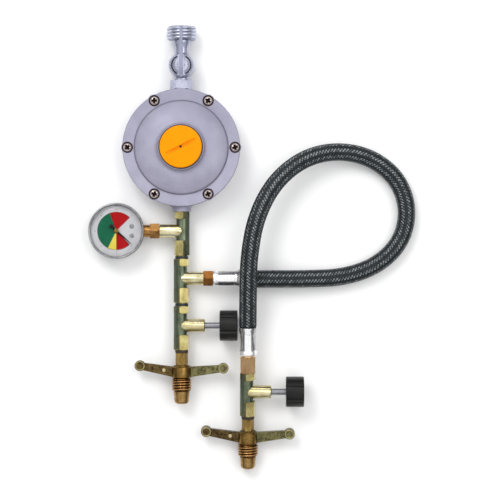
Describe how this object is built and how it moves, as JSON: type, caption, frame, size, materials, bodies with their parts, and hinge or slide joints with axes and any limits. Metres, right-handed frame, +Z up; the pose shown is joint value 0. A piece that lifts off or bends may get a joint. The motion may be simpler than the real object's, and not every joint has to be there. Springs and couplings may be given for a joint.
{
  "type": "gas regulator set with hose",
  "caption": "Low-pressure gas regulator with pressure gauge, outlet ball valve and two shut-off cylinder connectors, one on a braided hose.",
  "frame": {"origin": "centre of the regulator's flat back face, on the surface the set lies on", "axes": "+Y along the gas line towards the outlet valve, +Z up through the cap, +X towards the hose"},
  "size_m": [0.3696, 0.501, 0.057],
  "materials": {
    "cast_aluminium": "fine sand-cast, clear coated",
    "cap_plastic": "moulded yellow plastic",
    "zinc_alloy": "die cast, satin",
    "chromated_brass": "yellow chromate over brass, machined",
    "copper_brass": "bare machined brass",
    "wing_bronze": "cast, yellow chromate",
    "thread_brass": "bare turned brass",
    "nickel": "polished nickel",
    "steel": "turned steel",
    "black_plastic": "moulded black plastic",
    "rubber": "nitrile rubber",
    "hose_braid": "rubber hose under a woven braid",
    "dial_white": "printed white dial",
    "clear_glass": "clear window",
    "sealant": "black joint compound"
  },
  "bodies": {
    "regulator": {"regulator_body": "cast_aluminium", "regulator_cover": "cast_aluminium", "cover_screws": "steel", "main_spring": "steel", "diaphragm": "rubber", "lever_pin": "steel", "inlet_nozzle": "copper_brass", "outlet_valve_body": "zinc_alloy", "outlet_end": "zinc_alloy", "outlet_seals": "dial_white", "gauge_tee": "chromated_brass", "hose_tee": "chromated_brass", "valve_tee_1": "chromated_brass", "valve_tee_2": "chromated_brass", "joint_seals": "sealant", "gauge_case": "nickel", "gauge_bezel": "nickel", "gauge_lens": "clear_glass", "gauge_dial": "dial_white", "dial_screws": "steel", "gauge_socket": "copper_brass", "bourdon_tube": "copper_brass", "gauge_movement": "copper_brass", "gauge_adapter_nut": "copper_brass", "hose_nut": "copper_brass", "hose_ferrule_1": "nickel", "hose": "hose_braid", "hose_ferrule_2": "nickel", "hose_adapter_2": "copper_brass", "connector_nipple_1": "chromated_brass", "nipple_core_1": "chromated_brass", "nipple_nose_1": "chromated_brass", "connector_nipple_2": "chromated_brass", "nipple_core_2": "chromated_brass", "nipple_nose_2": "chromated_brass"},
    "cap_seat": {"cap_gasket": "rubber"},
    "cap": {"adjuster_cap": "cap_plastic", "cap_skirt": "cap_plastic"},
    "spring_seat": {"upper_spring_seat": "steel"},
    "adjuster": {"adjusting_screw": "zinc_alloy"},
    "diaphragm_centre": {"diaphragm_plate": "steel"},
    "lever": {"valve_lever": "steel"},
    "plug": {"seat_plug": "rubber"},
    "outlet_handle": {"outlet_lever": "zinc_alloy", "outlet_ball": "nickel"},
    "pointer": {"gauge_pointer": "black_plastic"},
    "plunger_1": {"valve_plunger_1": "rubber"},
    "knob_1": {"valve_spindle_1": "steel", "valve_stem_1": "steel", "valve_knob_1": "black_plastic"},
    "nut_carrier_1": {"nut_bushing_1": "steel"},
    "nut_1": {"wing_nut_1": "wing_bronze", "nut_thread_1": "thread_brass"},
    "plunger_2": {"valve_plunger_2": "rubber"},
    "knob_2": {"valve_spindle_2": "steel", "valve_stem_2": "steel", "valve_knob_2": "black_plastic"},
    "nut_carrier_2": {"nut_bushing_2": "steel"},
    "nut_2": {"wing_nut_2": "wing_bronze", "nut_thread_2": "thread_brass"}
  },
  "joints": [
    {"name": "outlet_lever_turn", "type": "hinge", "parent": "regulator", "child": "outlet_handle", "pos_m": [0, 0.0927, 0.034], "axis": [0, 0, 1], "range_deg": [0, 90]},
    {"name": "cap_lift", "type": "slide", "parent": "regulator", "child": "cap_seat", "axis": [0, 0, 1], "range_m": [0, 0.00451]},
    {"name": "cap_turn", "type": "hinge", "parent": "cap_seat", "child": "cap", "pos_m": [0, 0, 0.055], "axis": [0, 0, 1], "range_deg": [0, 1080]},
    {"name": "adjuster_lift", "type": "slide", "parent": "regulator", "child": "spring_seat", "axis": [0, 0, 1], "range_m": [-0.00301, 0.00301], "deforming": ["main_spring"]},
    {"name": "adjuster_turn", "type": "hinge", "parent": "spring_seat", "child": "adjuster", "pos_m": [0, 0, 0.047], "axis": [0, 0, 1], "range_deg": [-720, 720]},
    {"name": "diaphragm_rise", "type": "slide", "parent": "regulator", "child": "diaphragm_centre", "axis": [0, 0, 1], "range_m": [0, 0.003], "stiffness_N_per_m": 2000, "springref_m": -0.002, "deforming": ["main_spring", "diaphragm"]},
    {"name": "lever_tilt", "type": "hinge", "parent": "regulator", "child": "lever", "pos_m": [0, -0.019, 0.008], "axis": [1, 0, 0], "range_deg": [0, 9.2]},
    {"name": "plug_slide", "type": "slide", "parent": "regulator", "child": "plug", "axis": [0, -1, 0], "range_m": [0, 0.00152]},
    {"name": "pointer_turn", "type": "hinge", "parent": "regulator", "child": "pointer", "pos_m": [-0.0734, -0.0938, 0.027], "axis": [0, 0, -1], "range_deg": [0, 266], "stiffness_Nm_per_rad": 0.0005},
    {"name": "valve_lift_1", "type": "slide", "parent": "regulator", "child": "plunger_1", "axis": [1, 0, 0], "range_m": [-0.00376, 0]},
    {"name": "valve_turn_1", "type": "hinge", "parent": "plunger_1", "child": "knob_1", "pos_m": [0, -0.2007, 0.0175], "axis": [1, 0, 0], "range_deg": [-900, 0]},
    {"name": "valve_lift_2", "type": "slide", "parent": "regulator", "child": "plunger_2", "axis": [1, 0, 0], "range_m": [-0.00376, 0]},
    {"name": "valve_turn_2", "type": "hinge", "parent": "plunger_2", "child": "knob_2", "pos_m": [0.0749, -0.27536, 0.022], "axis": [1, 0, 0], "range_deg": [-900, 0]},
    {"name": "nut_slide_1", "type": "slide", "parent": "regulator", "child": "nut_carrier_1", "axis": [0, 1, 0], "range_m": [0, 0.001]},
    {"name": "nut_spin_1", "type": "hinge", "parent": "nut_carrier_1", "child": "nut_1", "pos_m": [0, -0.2535, 0.0175], "axis": [0, -1, 0], "continuous": true},
    {"name": "nut_slide_2", "type": "slide", "parent": "regulator", "child": "nut_carrier_2", "axis": [0, 0.99, 0.1409], "range_m": [0, 0.001]},
    {"name": "nut_spin_2", "type": "hinge", "parent": "nut_carrier_2", "child": "nut_2", "pos_m": [0.0749, -0.32764, 0.01456], "axis": [0, -0.99, -0.1409], "continuous": true}
  ],
  "couplings": [
    {"joint": "cap_lift", "follows": "cap_turn", "m_per_rad": 0.00023873},
    {"joint": "adjuster_lift", "follows": "adjuster_turn", "m_per_rad": 0.00023873},
    {"joint": "lever_tilt", "follows": "diaphragm_rise", "rad_per_m": 52.63},
    {"joint": "plug_slide", "follows": "diaphragm_rise", "ratio": 0.5},
    {"joint": "valve_lift_1", "follows": "valve_turn_1", "m_per_rad": 0.00023873},
    {"joint": "valve_lift_2", "follows": "valve_turn_2", "m_per_rad": 0.00023873}
  ]
}
